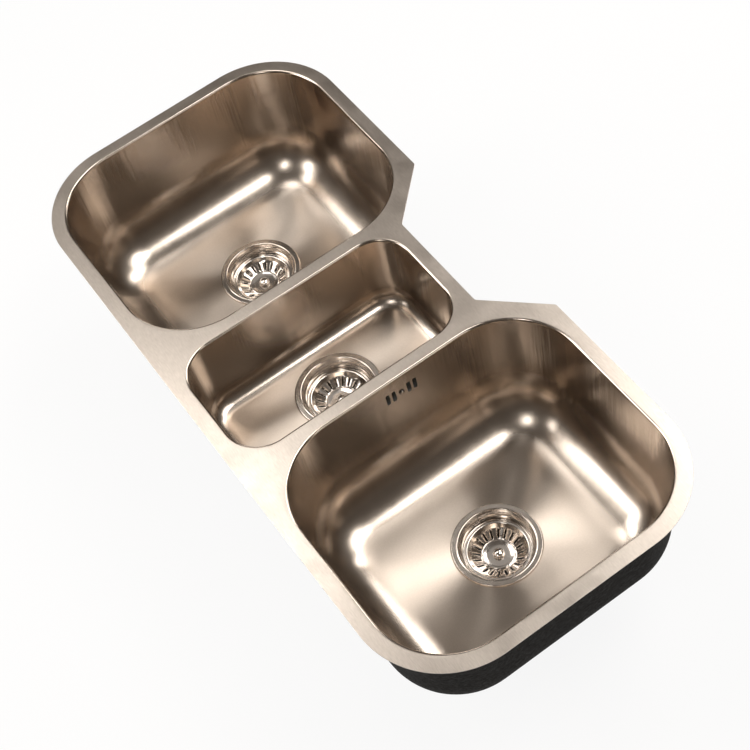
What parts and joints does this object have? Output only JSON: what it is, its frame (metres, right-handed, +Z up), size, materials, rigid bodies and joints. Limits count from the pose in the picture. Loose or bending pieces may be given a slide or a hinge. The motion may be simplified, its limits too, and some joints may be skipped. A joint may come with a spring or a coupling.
{
  "type": "three compartment sink",
  "caption": "Undermount stainless steel sink with large bowls either side of a small one, basket strainer wastes, an overflow and a notched back edge.",
  "frame": {"origin": "on the top of the deck, in the middle of the front flange, where a worktop rests on the sink", "axes": "+X along the sink to the right, +Y towards the notched back edge, +Z up out of the bowls"},
  "size_m": [0.94, 0.437, 0.269],
  "materials": {
    "brushed_steel": "fine brushed satin",
    "polished_steel": "polished",
    "screw_steel": "bright",
    "deadening_coat": "matt sprayed",
    "black_rubber": "matt",
    "grey_plastic": "moulded"
  },
  "bodies": {
    "root": {"deck_plate": "brushed_steel", "left_bowl": "brushed_steel", "middle_bowl": "brushed_steel", "right_bowl": "brushed_steel", "left_bowl_coat": "deadening_coat", "middle_bowl_coat": "deadening_coat", "right_bowl_coat": "deadening_coat", "left_waste_flange": "polished_steel", "left_rim_seal": "black_rubber", "left_clamp_seal": "black_rubber", "left_waste_body": "grey_plastic", "left_centre_screw": "screw_steel", "middle_waste_flange": "polished_steel", "middle_rim_seal": "black_rubber", "middle_clamp_seal": "black_rubber", "middle_waste_body": "grey_plastic", "middle_centre_screw": "screw_steel", "right_waste_flange": "polished_steel", "right_rim_seal": "black_rubber", "right_clamp_seal": "black_rubber", "right_waste_body": "grey_plastic", "right_centre_screw": "screw_steel", "overflow_screw": "screw_steel", "overflow_seal": "black_rubber", "overflow_housing": "grey_plastic", "overflow_pipe": "grey_plastic"},
    "left_basket": {"left_strainer_basket": "polished_steel", "left_lift_knob": "polished_steel", "left_stopper_seal": "black_rubber"},
    "middle_basket": {"middle_strainer_basket": "polished_steel", "middle_lift_knob": "polished_steel", "middle_stopper_seal": "black_rubber"},
    "right_basket": {"right_strainer_basket": "polished_steel", "right_lift_knob": "polished_steel", "right_stopper_seal": "black_rubber"}
  },
  "joints": [
    {"name": "left_basket_lift", "type": "slide", "parent": "root", "child": "left_basket", "axis": [0, 0, 1], "range_m": [0, 0.242]},
    {"name": "middle_basket_lift", "type": "slide", "parent": "root", "child": "middle_basket", "axis": [0, 0, 1], "range_m": [0, 0.18]},
    {"name": "right_basket_lift", "type": "slide", "parent": "root", "child": "right_basket", "axis": [0, 0, 1], "range_m": [0, 0.242]}
  ]
}
